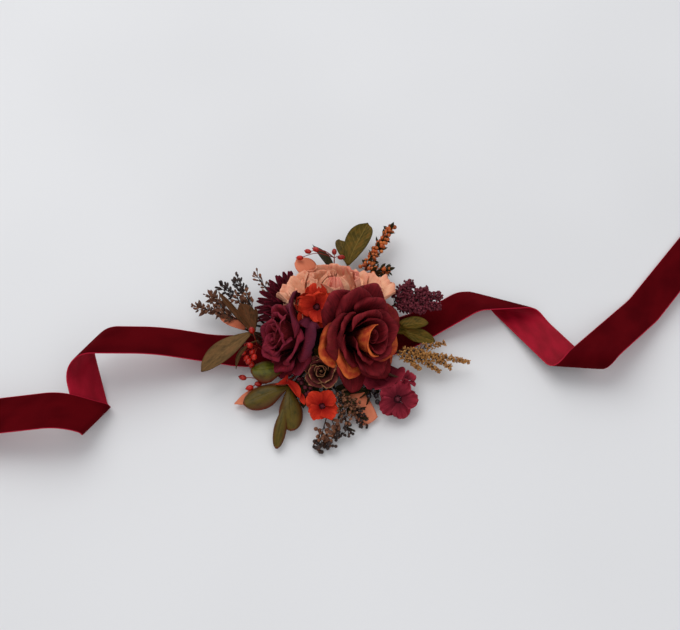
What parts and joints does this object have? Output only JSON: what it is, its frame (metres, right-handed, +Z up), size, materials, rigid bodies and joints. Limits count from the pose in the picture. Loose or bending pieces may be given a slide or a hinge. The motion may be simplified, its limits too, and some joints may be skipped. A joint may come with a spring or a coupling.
{
  "type": "wrist corsage",
  "caption": "Wrist corsage: artificial roses, small flowers, leaves and berry sprays glued on a felt pad over a velvet ribbon with two long tails that fold down at the pad.",
  "frame": {"origin": "centre of the underside of the felt pad, the face that lies on the wrist", "axes": "+Z up, away from the wrist; +X along the ribbon towards the right tail as seen by the wearer; +Y away from the wearer"},
  "size_m": [0.5735, 0.2056, 0.0531],
  "materials": {
    "velvet": "dark burgundy velvet with a crimson back",
    "felt": "matt felt",
    "glue": "hardened glue",
    "rust_petal": "matt wine-red petal fabric with rust-orange reverses",
    "plum_petal": "matt dark plum petal fabric",
    "peach_petal": "matt crinkled peach petal fabric",
    "burgundy_petal": "matt burgundy petal fabric",
    "mauve_petal": "matt brown-mauve petal fabric with gold-tan rims",
    "vermilion_petal": "matt vermilion petal fabric",
    "wine_petal": "matt wine-red petal fabric",
    "green_leaf": "satin olive green with a reddish edge",
    "bronze_leaf": "satin bronze green",
    "dark_leaf": "dark green",
    "peach_leaf": "matt peach-orange fabric",
    "orange_bud": "matt burnt orange",
    "red_berry": "satin red",
    "dark_berry": "matt dark burgundy",
    "black_berry": "satin black",
    "gold_seed": "matt gold-brown",
    "brown_spray": "matt dark brown"
  },
  "bodies": {
    "bouquet": {"black_berries": "black_berry", "brown_spray_left": "brown_spray", "brown_spray_right": "brown_spray", "burgundy_spray": "dark_berry", "dahlia_calyx": "dark_leaf", "dahlia_inner_rays": "burgundy_petal", "dahlia_middle_rays": "burgundy_petal", "dahlia_outer_rays": "burgundy_petal", "dark_berries_front": "dark_berry", "felt_base": "felt", "felt_cover": "felt", "fern_left": "brown_spray", "fern_top": "brown_spray", "ferns_middle": "brown_spray", "glue_bed": "glue", "gold_spray": "gold_seed", "leaf_between": "dark_leaf", "leaf_bronze": "bronze_leaf", "leaf_curved": "bronze_leaf", "leaf_sprig_front": "green_leaf", "leaf_sprig_left": "bronze_leaf", "leaf_sprig_right": "green_leaf", "leaf_sprig_top": "green_leaf", "leaf_thick": "green_leaf", "leaf_top_dark": "dark_leaf", "mini_rose_calyx": "dark_leaf", "mini_rose_inner_petals": "mauve_petal", "mini_rose_outer_petals": "mauve_petal", "orange_bud_spray": "orange_bud", "peach_leaf_front": "peach_leaf", "peach_leaf_front_left": "peach_leaf", "peach_leaf_left": "peach_leaf", "peach_leaf_right": "peach_leaf", "peach_leaf_top": "peach_leaf", "peach_rose_calyx": "dark_leaf", "peach_rose_inner_petals": "peach_petal", "peach_rose_middle_petals": "peach_petal", "peach_rose_outer_petals": "peach_petal", "plum_rose_calyx": "dark_leaf", "plum_rose_inner_petals": "plum_petal", "plum_rose_middle_petals": "plum_petal", "plum_rose_outer_petals": "plum_petal", "red_berries_left": "red_berry", "red_berries_low": "red_berry", "red_berries_top": "red_berry", "red_floret_lower": "vermilion_petal", "red_floret_upper": "vermilion_petal", "red_petals": "vermilion_petal", "ribbon_left_glued": "velvet", "ribbon_right_glued": "velvet", "rust_rose_calyx": "dark_leaf", "rust_rose_inner_petals": "rust_petal", "rust_rose_middle_petals": "rust_petal", "rust_rose_outer_petals": "rust_petal", "wine_floret": "wine_petal", "wine_floret_back": "wine_petal", "wine_petals": "wine_petal"},
    "left_tail": {"ribbon_left_tail": "velvet"},
    "right_tail": {"ribbon_right_tail": "velvet"}
  },
  "joints": [
    {"name": "left_tail_fold", "type": "hinge", "parent": "bouquet", "child": "left_tail", "pos_m": [-0.0358, -0.00376, 0.0019], "axis": [0.1045, -0.9945, 0], "range_deg": [0, 80]},
    {"name": "right_tail_fold", "type": "hinge", "parent": "bouquet", "child": "right_tail", "pos_m": [0.03465, 0.00244, 0.0019], "axis": [-0.3681, 0.9298, 0], "range_deg": [0, 80]}
  ]
}
